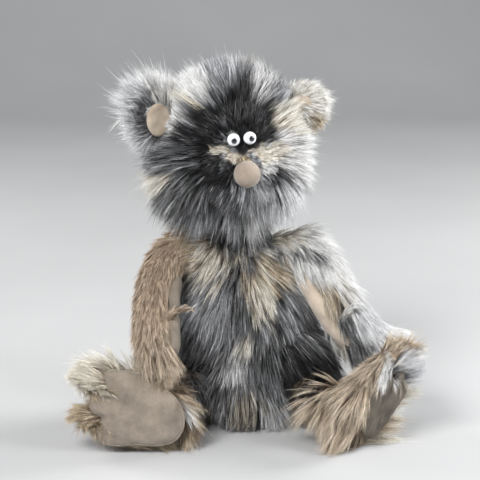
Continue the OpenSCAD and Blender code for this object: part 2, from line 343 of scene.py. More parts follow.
def hair_material():
    """Pile fibre: the colour painted on each hair, a little uneven along the bunches"""
    m, nodes, links, shader = material("pile_fibre", 0.42, 0.35)
    paint = nodes.new("ShaderNodeAttribute")
    paint.attribute_name = "pile"
    noise = noise_node(nodes, links, 260, 3)
    ramp = ramp_node(nodes, links, noise.outputs["Fac"], [(0.3, (0.72, 0.71, 0.70)), (0.7, (1.0, 1.0, 1.0))])
    colour = multiply_node(nodes, links, paint.outputs["Color"], ramp.outputs["Color"])
    links.new(colour, shader.inputs["Base Color"])
    return m


def suede_material(name, light, dark, sheen=0.25):
    """Short-napped suede: soft mottling, brushed marks and a fine nap"""
    m, nodes, links, shader = material(name, 0.95, 0.15)
    shader.inputs["Sheen Weight"].default_value = sheen
    shader.inputs["Sheen Roughness"].default_value = 0.6
    broad = noise_node(nodes, links, 42, 5, 0.62)
    ramp = ramp_node(nodes, links, broad.outputs["Fac"], [(0.34, dark), (0.62, light)])
    nap = noise_node(nodes, links, 1500, 4, 0.7)
    speck = ramp_node(nodes, links, nap.outputs["Fac"], [(0.35, (0.78, 0.77, 0.76)), (0.65, (1.0, 1.0, 1.0))])
    colour = multiply_node(nodes, links, ramp.outputs["Color"], speck.outputs["Color"])
    links.new(colour, shader.inputs["Base Color"])
    bump_node(nodes, links, shader, nap.outputs["Fac"], 0.5, 0.0006)
    return m


def plastic_material(name, light, dark, roughness, scale=300):
    m, nodes, links, shader = material(name, roughness, 0.5)
    noise = noise_node(nodes, links, scale, 3)
    ramp = ramp_node(nodes, links, noise.outputs["Fac"], [(0.35, dark), (0.65, light)])
    links.new(ramp.outputs["Color"], shader.inputs["Base Color"])
    return m, shader


PILE = hair_material()
SUEDE = suede_material("suede", (0.50, 0.42, 0.33), (0.32, 0.25, 0.185))
SUEDE_NOSE = suede_material("suede_nose", (0.36, 0.30, 0.24), (0.25, 0.20, 0.155))
# The palms are one suede: the right palm's darker colour is painted shade, the left palm's lighter colour is
# painted light.
SUEDE_PALM = {"right": suede_material("suede_palm_right_painted_shade", (0.20, 0.168, 0.133), (0.12, 0.10, 0.078), 0.1),
              "left": suede_material("suede_palm_left_painted_light", (0.70, 0.60, 0.49), (0.52, 0.43, 0.34))}
# The soles are one suede: the left sole's darker colour is painted shade.
SUEDE_SOLE = {"right": suede_material("suede_sole_right", (0.31, 0.26, 0.21), (0.18, 0.148, 0.118)),
              "left": suede_material("suede_sole_left_painted_shade", (0.15, 0.13, 0.105), (0.08, 0.068, 0.055), 0.04)}
EYE_WHITE, shader = plastic_material("eye_white", (0.86, 0.88, 0.92), (0.80, 0.82, 0.86), 0.08)
shader.inputs["Coat Weight"].default_value = 0.6
EYE_BLACK, shader = plastic_material("eye_black", (0.012, 0.012, 0.014), (0.006, 0.006, 0.007), 0.06)
shader.inputs["Coat Weight"].default_value = 0.8
EYE_RING, _ = plastic_material("eye_ring", (0.30, 0.31, 0.33), (0.24, 0.25, 0.27), 0.25)


# ---------------------------------------------------------------- fur

# Fibre colours: at the root and at the tip
WHITE = ((0.46, 0.45, 0.43), (0.95, 0.95, 0.94))
CREAM = ((0.45, 0.38, 0.29), (0.93, 0.88, 0.77))
PALE = ((0.46, 0.42, 0.36), (0.95, 0.93, 0.87))
SAND = ((0.22, 0.165, 0.11), (0.62, 0.51, 0.37))
BEIGE = ((0.31, 0.235, 0.165), (0.70, 0.59, 0.46))
TAN = ((0.34, 0.255, 0.18), (0.57, 0.455, 0.345))
BROWN = ((0.05, 0.034, 0.022), (0.27, 0.19, 0.12))
SILVER = ((0.008, 0.008, 0.009), (0.42, 0.43, 0.45))
FROST = ((0.05, 0.05, 0.053), (0.90, 0.91, 0.93))
GREY = ((0.008, 0.008, 0.009), (0.17, 0.173, 0.178))
CHARCOAL = ((0.003, 0.003, 0.003), (0.024, 0.024, 0.026))
LIGHT = ((0.11, 0.11, 0.11), (0.70, 0.70, 0.70))
SLATE = ((0.006, 0.006, 0.007), (0.26, 0.264, 0.27))
EARTH = ((0.02, 0.016, 0.012), (0.46, 0.41, 0.33))


def plain(points, pair):
    return np.repeat(np.reshape(pair, (1, 6)), len(points), 0)


def paint(points, places, base, patches, seed, fuzz=0.3, size=14):
    """Root and tip colours: the base with soft-edged patches (centre, radii, pair) over it"""
    out = plain(points, base)
    wander = ripple(points, size, seed) * fuzz
    for centre, radii, pair in patches:
        reach = np.linalg.norm((places - centre) / radii, axis=1) + wander
        weight = smooth(1.25, 0.8, reach)[:, None]
        out += (np.reshape(pair, (1, 6)) - out) * weight
    return out


def inside_box(points):
    """Shortens each hair that would stand too far out of the CAD box"""
    root = points[:, :1]
    reach = points - root
    room = np.where(reach > 0, HIGH + PROUD - root, LOW - PROUD - root)
    share = (room / np.where(np.abs(reach) < 0.01, 0.01 * np.sign(room), reach)).min(axis=(1, 2))
    return root + reach * np.clip(share, 0.1, 1)[:, None, None]


def blades(points, width, rng):
    """A flat strip along each hair that tapers to its tip"""
    m = len(points)
    ways = unit(np.gradient(points, axis=1))
    flat = unit(np.cross(ways, rng.normal(size=(m, 3))[:, None]))
    thick = width * rng.uniform(0.6, 1.25, m)
    half = flat * (thick[:, None] * (1 - ALONG ** 2.2) / 2)[:, :, None]
    sides = np.stack([points - half, points + half], 2)[:, :-1].reshape(m, -1, 3)
    return np.concatenate([sides, points[:, -1:]], 1)


def hair_colours(pairs, bunch, shade, rng):
    """Root to tip colours of each hair. Dark pile varies more in brightness than pale pile."""
    blend = smooth(0.02, 0.85, np.repeat(ALONG, 2)[:-1])
    pair = pairs[bunch]
    dark = shade * (1.15 - pair[:, 4])
    of_hair = rng.normal(0, 1.25, len(bunch))
    of_bunch = rng.normal(0, 1.0, len(pairs))[bunch]
    bright = np.exp((of_hair + of_bunch) * dark - 1.28 * dark ** 2)
    rgb = pair[:, None, :3] + (pair[:, None, 3:] - pair[:, None, :3]) * blend[None, :, None]
    return np.clip(rgb * bright[:, None, None], 0.001, 0.97)


def fur(name, body, slot, roots, normals, comb, length, colours, rng, per=13, spread=2.2, width=0.38,
        lift=(0.7, 0.35), droop=0.15, gather=(0.3, 0.85), wild=0.07, shade=0.62):
    """Hairs in bunches. Each root is one bunch: its hairs lean along comb, and close towards its tip."""
    droop = np.broadcast_to(droop, len(roots))
    keep = rng.random(len(roots)) < DENSITY
    roots, normals, comb, length, colours, droop = (
        a[keep] for a in (roots, normals, comb, length, colours, droop))
    n = len(roots)
    t = ALONG
    rise = lift[0] + (lift[1] - lift[0]) * t
    bend = rng.normal(0, wild, (n, 3))
    fall = DOWN * (droop[:, None] * t)[:, :, None] * 2
    sway = bend[:, None] * (t * 2)[None, :, None]
    ways = normals[:, None] * rise[None, :, None] + comb[:, None] + fall + sway
    step = unit(ways) * (length / SEGMENTS)[:, None, None]
    guide = np.cumsum(step, axis=1) - step[:, :1]
    m = n * per
    bunch = np.repeat(np.arange(n), per)
    a, r = rng.uniform(0, 2 * np.pi, m), spread * np.sqrt(rng.random(m))
    one = along_surface(np.array([0.31, 0.22, 0.92]), normals)
    two = np.cross(normals, one)
    offset = one[bunch] * (np.cos(a) * r)[:, None] + two[bunch] * (np.sin(a) * r)[:, None]
    guard = rng.random(m) < 0.05            # long straight hairs that stand out
    scale = np.clip(1 - np.abs(rng.normal(0, 0.2, m)), 0.4, 1) + 0.25 * guard
    stray = rng.normal(0, 1, (m, 3)) * (length[bunch] * wild * (0.55 + 0.9 * guard))[:, None]
    closing = 1 - rng.uniform(*gather, (n, 1))[bunch] * t ** 0.9
    points = (roots[bunch][:, None] - normals[bunch][:, None] * 0.8 + offset[:, None] * closing[:, :, None]
              + guide[bunch] * scale[:, None, None] + stray[:, None] * (t ** 2)[None, :, None])
    points = inside_box(points)
    floor = 0.5 + rng.random(m)[:, None] * 2.5
    points[:, :, 2] = np.maximum(points[:, :, 2], floor * t)
    verts = blades(points, width, rng)
    rgb = hair_colours(colours, bunch, shade, rng)
    for k, start in enumerate(range(0, m, MAX_HAIRS)):
        part = slice(start, min(start + MAX_HAIRS, m))
        hair_piece(f"{name}_{k + 1}" if m > MAX_HAIRS else name, body, verts[part], rgb[part])


def store_colours(mesh, rgb):
    """Gives each vertex its colour, in the attribute that the pile material reads"""
    colour = mesh.color_attributes.new("pile", "FLOAT_COLOR", "POINT")
    rgba = np.concatenate([rgb, np.ones((len(rgb), 1))], 1)
    colour.data.foreach_set("color", rgba.astype(np.float32).ravel())


def hair_piece(name, body, verts, rgb):
    """One mesh of many strips, each with its own cell of the UV map"""
    m, size = verts.shape[:2]
    mesh = bpy.data.meshes.new(name)
    mesh.vertices.add(m * size)
    mesh.vertices.foreach_set("co", (verts * MM).astype(np.float32).ravel())
    quads = [(2 * k, 2 * k + 1, 2 * k + 3, 2 * k + 2) for k in range(SEGMENTS - 1)]
    local = np.array([i for q in quads for i in q] + [size - 3, size - 2, size - 1])
    starts = np.array([4 * k for k in range(SEGMENTS)])
    index = (np.arange(m)[:, None] * size + local).ravel()
    mesh.loops.add(len(index))
    mesh.loops.foreach_set("vertex_index", index.astype(np.int32))
    first = (np.arange(m)[:, None] * len(local) + starts).ravel()
    mesh.polygons.add(len(first))
    mesh.polygons.foreach_set("loop_start", first.astype(np.int32))
    mesh.update(calc_edges=True)
    mesh.polygons.foreach_set("use_smooth", np.ones(len(first), bool))
    store_colours(mesh, rgb.reshape(-1, 3))
    across = int(math.ceil(math.sqrt(m)))
    cell = np.stack([np.arange(m) % across, np.arange(m) // across], 1) / across
    up = 0.15 + 0.7 * np.repeat(ALONG, 2)[:-1]
    inner = np.stack([np.tile([0.25, 0.75], SEGMENTS + 1)[:-1], up], 1)
    inner[-1, 0] = 0.5
    uv = (cell[:, None] + inner[None] / across).reshape(-1, 2)[index]
    mesh.uv_layers.new(name="OFBake").data.foreach_set("uv", uv.astype(np.float32).ravel())
    piece(name, mesh, body, PILE)


def skin(name, mesh, body, painter, replaces, shade=0.8):
    """The cloth under the pile, in the colour of the roots"""
    rgb = painter(arrays(mesh)[0])[:, :3] * shade
    store_colours(mesh, rgb)
    piece(name, mesh, body, PILE, replaces)


def mottled(points, seed, size=46):
    """Mixed grey, white, black and sand pile, in streaked patches"""
    a, b = ripple(points, size, seed), ripple(points, size, seed + 1)
    out = plain(points, SLATE)
    for pair, weight in ((WHITE, smooth(0.35, 0.75, a)), (CHARCOAL, smooth(0.3, 0.7, -a)),
                         (SAND, smooth(0.6, 0.95, b)), (SILVER, smooth(0.5, 0.9, -b))):
        out += (np.reshape(pair, (1, 6)) - out) * weight[:, None]
    return out


# ---------------------------------------------------------------- head

HEAD_PATCHES = [
    ((-75, 221), (30, 26), SLATE),
    ((-54, 264), (34, 27), CHARCOAL),
    ((-70, 250), (20, 16), GREY),
    ((-36, 236), (26, 14), CHARCOAL),
    ((-9, 297), (37, 29), CHARCOAL),
    ((-47, 290), (18, 14), CHARCOAL),
    ((-4, 280), (24, 14), CHARCOAL),
    ((-36, 203), (34, 16), GREY),
    ((-30, 188), (28, 10), SILVER),
    ((9, 192), (14, 22), LIGHT),
    ((50, 254), (42, 34), WHITE),
    ((2, 285), (27, 24), CHARCOAL),
    ((12, 274), (10, 8), CHARCOAL),
    ((36, 206), (32, 20), FROST),
    # Painted shadow: a grey patch in the white of the left cheek, below the eye.
    ((30, 230), (15, 8), GREY),
    ((20, 255), (16, 9), CREAM),
    ((-29, 260), (10, 4.5), CREAM),
    ((-15, 253), (10, 4.5), CREAM),
    ((-2, 248), (9, 5), SAND),
    ((-8, 259), (4, 4), GREY),
    ((-80, 308), (15, 30), WHITE),
    ((-55, 322), (18, 15), WHITE),
    ((-66, 305), (9, 5), CREAM),
    ((-26, 334), (20, 12), SILVER),
    ((10, 316), (10, 12), LIGHT),
    ((-97, 227), (11, 9), CREAM),
    ((47, 288), (22, 15), CREAM),
]


def head_paint(points):
    local = back(points, HEAD)
    front = paint(points, front_view(points), SILVER, HEAD_PATCHES, 11)
    rear = mottled(points, 21)
    weight = smooth(5, 35, local[:, 1])[:, None]
    return front + (rear - front) * weight


rng = np.random.default_rng(7)
# Places in the head's own frame, in mm
NOSE_LOCAL = np.array([0, -84, -12])
EYES_LOCAL = [np.array([x, -74.2, 18.5]) for x in (-8.3, 6.5)]
BRIDGE = np.array([0, -72, 2])          # between the eyes and the nose, where the pile is shortest
head_mesh = lumps("head_skin", [
    ((0, 2, 0), (65, 64, 63)), ((0, -42, -9), (32, 34, 29)), ((0, -40, 16), (28, 33, 24)),
    ((-29, -20, -16), (35, 35, 34)), ((27, -20, -16), (34, 35, 34))], HEAD)
skin("head_skin", head_mesh, "head", head_paint,
     ("head_face_panel", "head_back_panel", "head_stuffing"))


def head_fur():
    p, n = scatter(head_mesh, 6200, rng)
    q, m = scatter(head_mesh, 8500, rng)
    close = np.linalg.norm((back(q, HEAD) - BRIDGE) * [1, 0.6, 1], axis=1) < 36
    p, n = np.concatenate([p, q[close]]), np.concatenate([n, m[close]])
    local = back(p, HEAD)
    near = np.linalg.norm((local - BRIDGE) * [1, 0.6, 1], axis=1)
    clear = np.linalg.norm(local - NOSE_LOCAL, axis=1) > 11
    for eye in EYES_LOCAL:
        clear &= np.linalg.norm(local - eye, axis=1) > 6.5
    p, n, local, near = p[clear], n[clear], local[clear], near[clear]
    away = unit(local - np.array([0, -66, 3]))
    comb = along_surface(turned(away, HEAD), n)
    comb = unit(comb + DOWN * smooth(10, 60, local[:, 1])[:, None] * 0.6)
    comb = swayed(comb, p, n, 36, 0.26, 15)
    chin = smooth(-5, -45, local[:, 2]) * smooth(40, 0, local[:, 1])
    jowl = smooth(0, -35, local[:, 2]) * smooth(30, 55, local[:, 0])
    length = (6.5 + 26 * smooth(14, 62, near)) * (1 - 0.35 * jowl) + 16 * chin
    length *= 1 + 0.12 * ripple(p, 30, 5)
    for s, reach in ((-1, (30, 34, 22)), (1, (20, 30, 20))):
        ear_gap = np.linalg.norm((local - np.array([s * 64, -14, 30])) / reach, axis=1)
        length *= 0.32 + 0.68 * smooth(0.7, 1.25, ear_gap)
    middle = p + (comb * 0.5 + n * 0.3) * length[:, None]
    fur("head_fur", "head", "grey_fur", p, n, comb, length, head_paint(middle), rng, lift=(0.9, 0.45),
        droop=0.10 + 0.4 * chin)


head_fur()

nose_mesh = lumps("nose", [((0, 0, 0), (12.2, 12.0, 12.2))], HEAD @ Matrix.Translation(NOSE_LOCAL), 0.9, 2)
piece("nose", nose_mesh, "head", SUEDE_NOSE, ("nose_cover", "nose_filling"))


EYE_R = 5.8             # eye ball
PUPIL_TOP = 5.92        # distance of the pupil's dome from the ball's centre


def ball(name, radius, matrix):
    bm = bmesh.new()
    bmesh.ops.create_uvsphere(bm, u_segments=48, v_segments=24, radius=radius)
    mesh = bpy.data.meshes.new(name)
    bm.to_mesh(mesh)
    bm.free()
    mesh.transform(Matrix.Scale(MM, 4) @ matrix)
    mesh.polygons.foreach_set("use_smooth", [True] * len(mesh.polygons))
    return mesh


def lathe(name, profile, matrix, sides=40):
    """A turned piece from (radius, height) points in mm, closed at both ends on the axis"""
    turn = np.arange(sides) * 2 * math.pi / sides
    points = [(r * math.cos(a), r * math.sin(a), z) for r, z in profile for a in turn]
    return mesh_of(name, moved(points, matrix), ring_faces(len(profile), sides))


def eye(side, place, gaze):
    """A glossy ball with a domed pupil in a thin grey ring"""
    aim = Vector(gaze).normalized().to_track_quat("Z", "Y").to_matrix().to_4x4()
    at = HEAD @ Matrix.Translation(place) @ aim
    name = f"eye_{side}"
    piece(f"{name}_ball", ball(f"{name}_ball", EYE_R, at), "head", EYE_WHITE, (name,))
    dome = [(r, math.sqrt(PUPIL_TOP ** 2 - r * r)) for r in (2.3, 2.0, 1.5, 0.9, 0.3)]
    mesh = lathe(f"{name}_pupil", [(2.3, 5.0), *dome], at)
    piece(f"{name}_pupil", mesh, "head", EYE_BLACK, (f"pupil_{side}",))
    ring = [(2.8, 4.9), (2.8, 5.12), (2.7, 5.25), (2.4, 5.46), (2.25, 5.44), (2.25, 4.9)]
    piece(f"{name}_ring", lathe(f"{name}_ring", ring, at), "head", EYE_RING)


eye("right", EYES_LOCAL[0], (-0.08, -1, -0.02))
eye("left", EYES_LOCAL[1], (0.16, -1, 0.06))


# ---------------------------------------------------------------- ears

def ear(side):
    s = 1 if side == "left" else -1
    body = f"ear_{side}"
    base = HEAD @ Matrix.Translation((-66, -8, 32) if side == "right" else (69, -5, 27))
    if side == "right":
        base = base @ Matrix.Rotation(math.radians(8), 4, "Z")
    mesh = lumps(f"{body}_back", [((0, 3, 0), (16, 7, 17)), ((-s * 7, 3, -5), (12, 7, 13))], base, 1.4, 4)

    def colours(points):
        if side == "left":
            return paint(points, points, PALE, [((60, 0, 285), (10, 30, 10), SAND)], 31)
        view = front_view(points)
        return paint(points, view, FROST, [((-82, 310), (16, 30), WHITE)], 33)

    skin(f"{body}_skin", mesh, body, colours, (f"ear_{side}_back",))
    p, n = scatter(mesh, 780, rng)
    local = back(p, base)
    if side == "right":
        keep = (local[:, 1] > -1.5) | (np.linalg.norm(local[:, [0, 2]] / [1, 1.1], axis=1) > 15)
    else:
        keep = np.ones(len(p), bool)
    keep &= local[:, 0] * s > -14
    p, n, local = p[keep], n[keep], local[keep]
    rise = 5 if side == "right" else -6
    away = np.stack([local[:, 0] + s * 9, np.full(len(p), -1.0), local[:, 2] + rise], 1)
    comb = along_surface(turned(unit(away), base), n)
    longest = 30 + 8 * smooth(0, 14, local[:, 2]) if side == "right" else 20.0
    length = longest * (1 + 0.15 * ripple(p, 20, 6))
    middle = p + (comb * 0.5 + n * 0.2) * length[:, None]
    fur(f"{body}_fur", body, "grey_fur", p, n, comb, length, colours(middle), rng, spread=2.0,
        lift=(0.6, 0.2), droop=0.05)
    disc = [(13.0, -1.0), (13.6, 0.4), (13.2, 1.6), (12.0, 2.3), (9.0, 2.2), (5.0, 1.8), (0.4, 1.6)]
    facing = Matrix.Rotation(math.radians(90), 4, "X")
    tilt = base @ Matrix.Translation((0, -3.2, -1)) @ facing @ Matrix.Diagonal((0.86, 1.14, 1, 1))
    mesh = lathe(f"{body}_disc", disc, tilt, 48)
    wrinkled(mesh, 0.35, 9, 41)
    piece(f"{body}_disc", mesh, body, SUEDE, (f"ear_{side}_lining",))


def wrinkled(mesh, depth, size, seed):
    """Small smooth dents along the normals, in mm"""
    co, no = arrays(mesh)
    co = co + no * (ripple(co, size, seed) * depth)[:, None]
    mesh.vertices.foreach_set("co", (co * MM).ravel())
    mesh.update()


ear("right")
ear("left")


# ---------------------------------------------------------------- torso and neck

TORSO_PATCHES = [
    ((-43, 92), (24, 34), SILVER),
    ((-46, 40), (18, 26), GREY),
    ((46, 66), (40, 40), GREY),
    ((56, 46), (28, 20), CHARCOAL),
    ((-9, 115), (10, 36), GREY),
    ((-22, 158), (12, 20), GREY),
    ((-62, 168), (28, 12), TAN),
    ((-47, 152), (26, 27), CREAM),
    ((6, 160), (22, 10), EARTH),
    ((22, 132), (24, 24), SAND),
    ((14, 112), (12, 26), CREAM),
    ((40, 106), (13, 24), SILVER),
    ((42, 172), (28, 14), WHITE),
    ((30, 178), (20, 13), CREAM),
    ((-20, 44), (13, 20), LIGHT),
    ((-8, 68), (8, 8), CREAM),
    ((6, 4), (24, 16), EARTH),
    ((30, -4), (20, 16), FROST),
]


def torso_paint(points):
    front = paint(points, front_view(points), SLATE, TORSO_PATCHES, 51)
    rear = mottled(points, 61)
    weight = smooth(10, 38, points[:, 1])[:, None]
    return front + (rear - front) * weight


torso_mesh = lumps("torso_skin", [
    ((0, 2, 60), (54, 46, 59)), ((0, 0, 95), (56, 44, 46)), ((0, -2, 124), (53, 40, 48)),
    ((22, -8, 58), (54, 42, 46)), ((4, -18, 36), (44, 38, 36)), ((-15, -2, 98), (54, 42, 60)),
    ((-12, -6, 50), (54, 42, 44)), ((-32, -3, 158), (24, 20, 19)), ((-38, -3, 139), (24, 20, 20)),
    ((32, -3, 158), (24, 20, 19))], rounds=14)


def flat_seat():
    """Presses the torso's underside flat, rising a little towards its edge"""
    co, _ = arrays(torso_mesh)
    co[:, 2] = np.maximum(co[:, 2], 2 + 0.02 * np.linalg.norm(co[:, :2], axis=1))
    torso_mesh.vertices.foreach_set("co", (co * MM).ravel())
    torso_mesh.update()


flat_seat()
skin("torso_skin", torso_mesh, "torso", torso_paint,
     ("torso_front_panel", "torso_back_panel", "torso_seat_panel", "torso_stuffing"))


def torso_fur():
    p, n = scatter(torso_mesh, 5300, rng)
    keep = n[:, 2] > -0.85
    p, n = p[keep], n[keep]
    front = smooth(20, -20, p[:, 1])
    skirt = smooth(45, 12, p[:, 2])
    shoulder = smooth(140, 165, p[:, 2])
    across = (p[:, 0] + 8) / 42 * (0.35 + 0.5 * front + 0.6 * shoulder)
    side = np.stack([across, np.zeros(len(p)), -np.ones(len(p))], 1)
    comb = along_surface(side, n)
    comb = unit(comb + DOWN * 0.2 + n * (1.8 * skirt * front)[:, None])
    comb = swayed(comb, p, n, 40, 0.25, 17)
    length = (33 + 4 * ripple(p, 30, 8)) * (1 + (0.42 * front - 0.35 * (1 - front)) * skirt)
    middle = p + (comb * 0.55 + n * 0.2) * length[:, None]
    fur("torso_fur", "torso", "grey_fur", p, n, comb, length, torso_paint(middle), rng,
        lift=(0.65, 0.2), droop=0.2)


torso_fur()

neck_mesh = lumps("neck_skin", [((-10, -2, 192), (20, 20, 20)), ((-6, -2, 176), (20, 20, 12))])
skin("neck_skin", neck_mesh, "neck", lambda p: mottled(p, 71),
     ("neck_cover", "neck_stuffing"))
p, n = scatter(neck_mesh, 700, rng)
fur("neck_fur", "neck", "grey_fur", p, n, along_surface(DOWN, n), np.full(len(p), 27.0), plain(p, SLATE), rng,
    lift=(1.0, 0.6), droop=0.2)


# ---------------------------------------------------------------- arms

PALM_WAY_R = (1, -0.1, 0)
PALM_WAY_L = (-0.8, -0.45, -0.4)


def arm(side, path, r0, r1, palm_way, palm_span, count, long, painter, slot, **style):
    """A sleeve along a curve. Its palm side is bare from one share of the length to another."""
    body = f"arm_{side}"
    t = np.linspace(0, 1, 36)
    centres = bezier(path, t)
    start, end = unit(centres[0] - centres[1]), unit(centres[-1] - centres[-2])
    mesh = tube(f"{body}_skin", *round_ended(centres, r0 + (r1 - r0) * t, start, end))
    skin(f"{body}_skin", mesh, body, painter, (f"{body}_sleeve", f"{body}_stuffing"))
    p, n = scatter(mesh, count, rng)
    t = np.linspace(0, 1, 60)
    line = bezier(path, t)
    spot = np.argmin(np.linalg.norm(p[:, None] - line[None], axis=2), axis=1)
    along = unit(np.gradient(line, axis=0))[spot]
    inside = (n @ unit(palm_way) > palm_span[2]) & (t[spot] > palm_span[0]) & (t[spot] < palm_span[1])
    inside |= ((n * along).sum(1) < -0.45) & (t[spot] < 0.02)
    p, n, along, t = p[~inside], n[~inside], along[~inside], t[spot][~inside]
    comb = swayed(along_surface(along + DOWN * 0.15, n), p, n, 30, 0.15, 19)
    length = long(t) * (1 + 0.12 * ripple(p, 18, 9))
    middle = p + (comb * 0.5 + n * 0.2) * length[:, None]
    fur(f"{body}_fur", body, slot, p, n, comb, length, painter(middle), rng, **style)


def arm_r_paint(points):
    view = front_view(points)
    return paint(points, view, TAN, [((-86, 60), (30, 26), ((0.24, 0.18, 0.125), (0.58, 0.48, 0.37))),
                                     ((-50, 168), (20, 16), SAND)], 81, 0.3, 16)


def arm_l_paint(points):
    view = front_view(points)
    # The slate patch low on the arm, between the palm's end and the foot, is painted shade.
    return paint(points, view, WHITE, [((34, 174), (15, 10), CREAM), ((56, 157), (19, 4), SLATE),
                                       ((116, 92), (14, 24), FROST), ((74, 112), (18, 17), SAND),
                                       ((93, 86), (10, 19), GREY), ((104, 66), (16, 12), SLATE),
                                       ((80, 62), (10, 14), CREAM)], 83, 0.3, 16)


def arm_r_length(t):
    """Pile length from shoulder to hand: longest at the two ends"""
    return 16 + 8 * smooth(0.7, 1, t) + 12 * smooth(0.25, 0, t)


def arm_l_length(t):
    return np.full(len(t), 31.0)


arm("right", ARM_R, 16, 17, PALM_WAY_R, (0.45, 1.0, 0.72), 2000, arm_r_length, arm_r_paint, "tan_fur",
    width=0.36, lift=(0.5, 0.2), droop=0.08, wild=0.08, shade=0.2, gather=(0.1, 0.5))
arm("left", ARM_L, 17, 17, PALM_WAY_L, (0.2, 0.74, 0.62), 2100, arm_l_length, arm_l_paint, "grey_fur",
    lift=(0.6, 0.25))


def palm(side, path, r0, r1, way, first, last, spread, proud):
    """A suede strip on the inner side of an arm: a thin closed pad that follows the tube"""
    rows, columns = 34, 17
    t = np.linspace(first, last, rows)
    line = bezier(path, t)
    along = unit(np.gradient(line, axis=0))
    out = along_surface(np.array(way, float), along)
    cross = np.cross(along, out)
    narrow = np.sin(np.linspace(0.12, 1, rows) * np.pi / 2) ** 0.5
    narrow[-1] *= 0.9 ** 0.5
    across = np.linspace(-1, 1, columns)
    turn = np.radians(spread) * narrow[:, None] * across
    ways = out[:, None] * np.cos(turn)[..., None] + cross[:, None] * np.sin(turn)[..., None]
    crown = proud * (1 - across ** 4) * (1 - np.linspace(-1, 1, rows)[:, None] ** 6)
    radius = (r0 + (r1 - r0) * t)[:, None]
    top = line[:, None] + ways * (radius + 0.9 + crown)[..., None]
    bottom = line[:, None] + ways * (radius - 1.2)[..., None]
    rings = np.concatenate([top, bottom[:, ::-1]], 1).reshape(-1, 3)
    name = f"palm_{side}"
    mesh = mesh_of(name, rings, ring_faces(rows, 2 * columns))
    wrinkled(mesh, 0.35, 10, 91)
    piece(name, mesh, f"arm_{side}", SUEDE_PALM[side], (f"arm_{side}_palm",))


palm("right", ARM_R, 16, 17, PALM_WAY_R, 0.42, 1.0, 40, 6.0)
palm("left", ARM_L, 17, 17, PALM_WAY_L, 0.18, 0.9, 48, 5.0)


def thumb(side, path, slot, painter, bend):
    """The small furry thumb: a bent, pointed tube"""
    root = bezier(path, [0.78])[0]
    centres = np.array([root + np.array(step, float) for step in bend])
    t = np.linspace(0, 1, 14)
    fine = bezier(centres, t)
    mesh = tube(f"thumb_{side}_skin", fine, 4.2 * (1 - 0.55 * t) * np.minimum(1, (1.02 - t) * 6) ** 0.5, 16)
    skin(f"thumb_{side}_skin", mesh, f"arm_{side}", painter, (f"arm_{side}_thumb",))
    p, n = scatter(mesh, 120, rng)
    near = np.argmin(np.linalg.norm(p[:, None] - fine[None], axis=2), axis=1)
    comb = along_surface(unit(np.gradient(fine, axis=0))[near], n)
    fur(f"thumb_{side}_fur", f"arm_{side}", slot, p, n, comb, np.full(len(p), 9.0), painter(p), rng, per=9,
        spread=1.4, width=0.4, lift=(0.45, 0.05), droop=0.05, wild=0.06)


thumb("right", ARM_R, "tan_fur", arm_r_paint, [(6, -6, 0), (16, -14, 12), (22, -16, 19), (33, -16, 18)])
thumb("left", ARM_L, "grey_fur", lambda p: plain(p, WHITE),
      [(-8, -8, 0), (-18, -17, 8), (-12, -21, 24), (4, -19, 28)])


# ---------------------------------------------------------------- legs and feet

def leg_paint(points):
    # The grey patch on the right leg, where it meets the torso, is painted shadow.
    tan = paint(points, front_view(points), SAND, [
        ((-58, 30), (22, 30), GREY), ((60, 40), (26, 16), CHARCOAL)], 95)
    streak = smooth(0.1, 0.8, ripple(points, 16, 96))[:, None]
    return tan + (np.reshape(BROWN, (1, 6)) - tan) * streak * 0.5


LEG_R, ANKLE_R = 19, 14


def leg(side, hip, foot):
    """A fur tube from the hip to the ankle, a little bowed upwards"""
    body = f"leg_{side}"
    ankle = moved([ANKLE], foot)[0]
    t = np.linspace(0, 1, 20)
    line = hip + (ankle - hip) * t[:, None]
    line[:, 2] += 3 * np.sin(t * np.pi)
    way = unit(ankle - hip)
    mesh = tube(f"{body}_skin", *round_ended(line, LEG_R + (ANKLE_R - LEG_R) * t, -way, way))
    skin(f"{body}_skin", mesh, body, leg_paint, (f"{body}_sleeve", f"{body}_stuffing"))
    p, n = scatter(mesh, 1300, rng)
    keep = n[:, 2] > -0.8
    p, n = p[keep], n[keep]
    length = 24 + 3 * ripple(p, 20, 97)
    fur(f"{body}_fur", body, "tan_fur", p, n, along_surface(way * 0.3 + DOWN, n), length, leg_paint(p), rng,
        lift=(0.6, 0.2), droop=0.2, shade=0.4)


leg("right", HIP_R, FOOT_R)
leg("left", HIP_L, FOOT_L)

# The right sole's outline: three lobes at the toes and a round heel
SOLE = [(4, 34), (17, 36), (27, 33), (26, 15), (37, 14), (42, 6), (39, -3), (31, -9), (37, -20), (33, -31),
        (20, -35), (2, -34), (-18, -35), (-33, -31), (-41, -20), (-42, -6), (-36, 8), (-26, 18), (-12, 28)]


def closed_curve(points, per=8):
    """A smooth closed curve through points"""
    p = np.asarray(points, float)
    out = []
    for i in range(len(p)):
        a, b, c, d = (p[(i + k) % len(p)] for k in (-1, 0, 1, 2))
        for t in np.arange(per) / per:
            out.append(0.5 * (2 * b + (c - a) * t + (2 * a - 5 * b + 4 * c - d) * t * t
                              + (3 * b - a - 3 * c + d) * t ** 3))
    return np.array(out)


def sole_rim(side):
    """The outline of a sole. The left one is smaller, as the foot is bent."""
    return closed_curve(SOLE) if side == "right" else closed_curve(SOLE) * 0.8 + [6, -3]


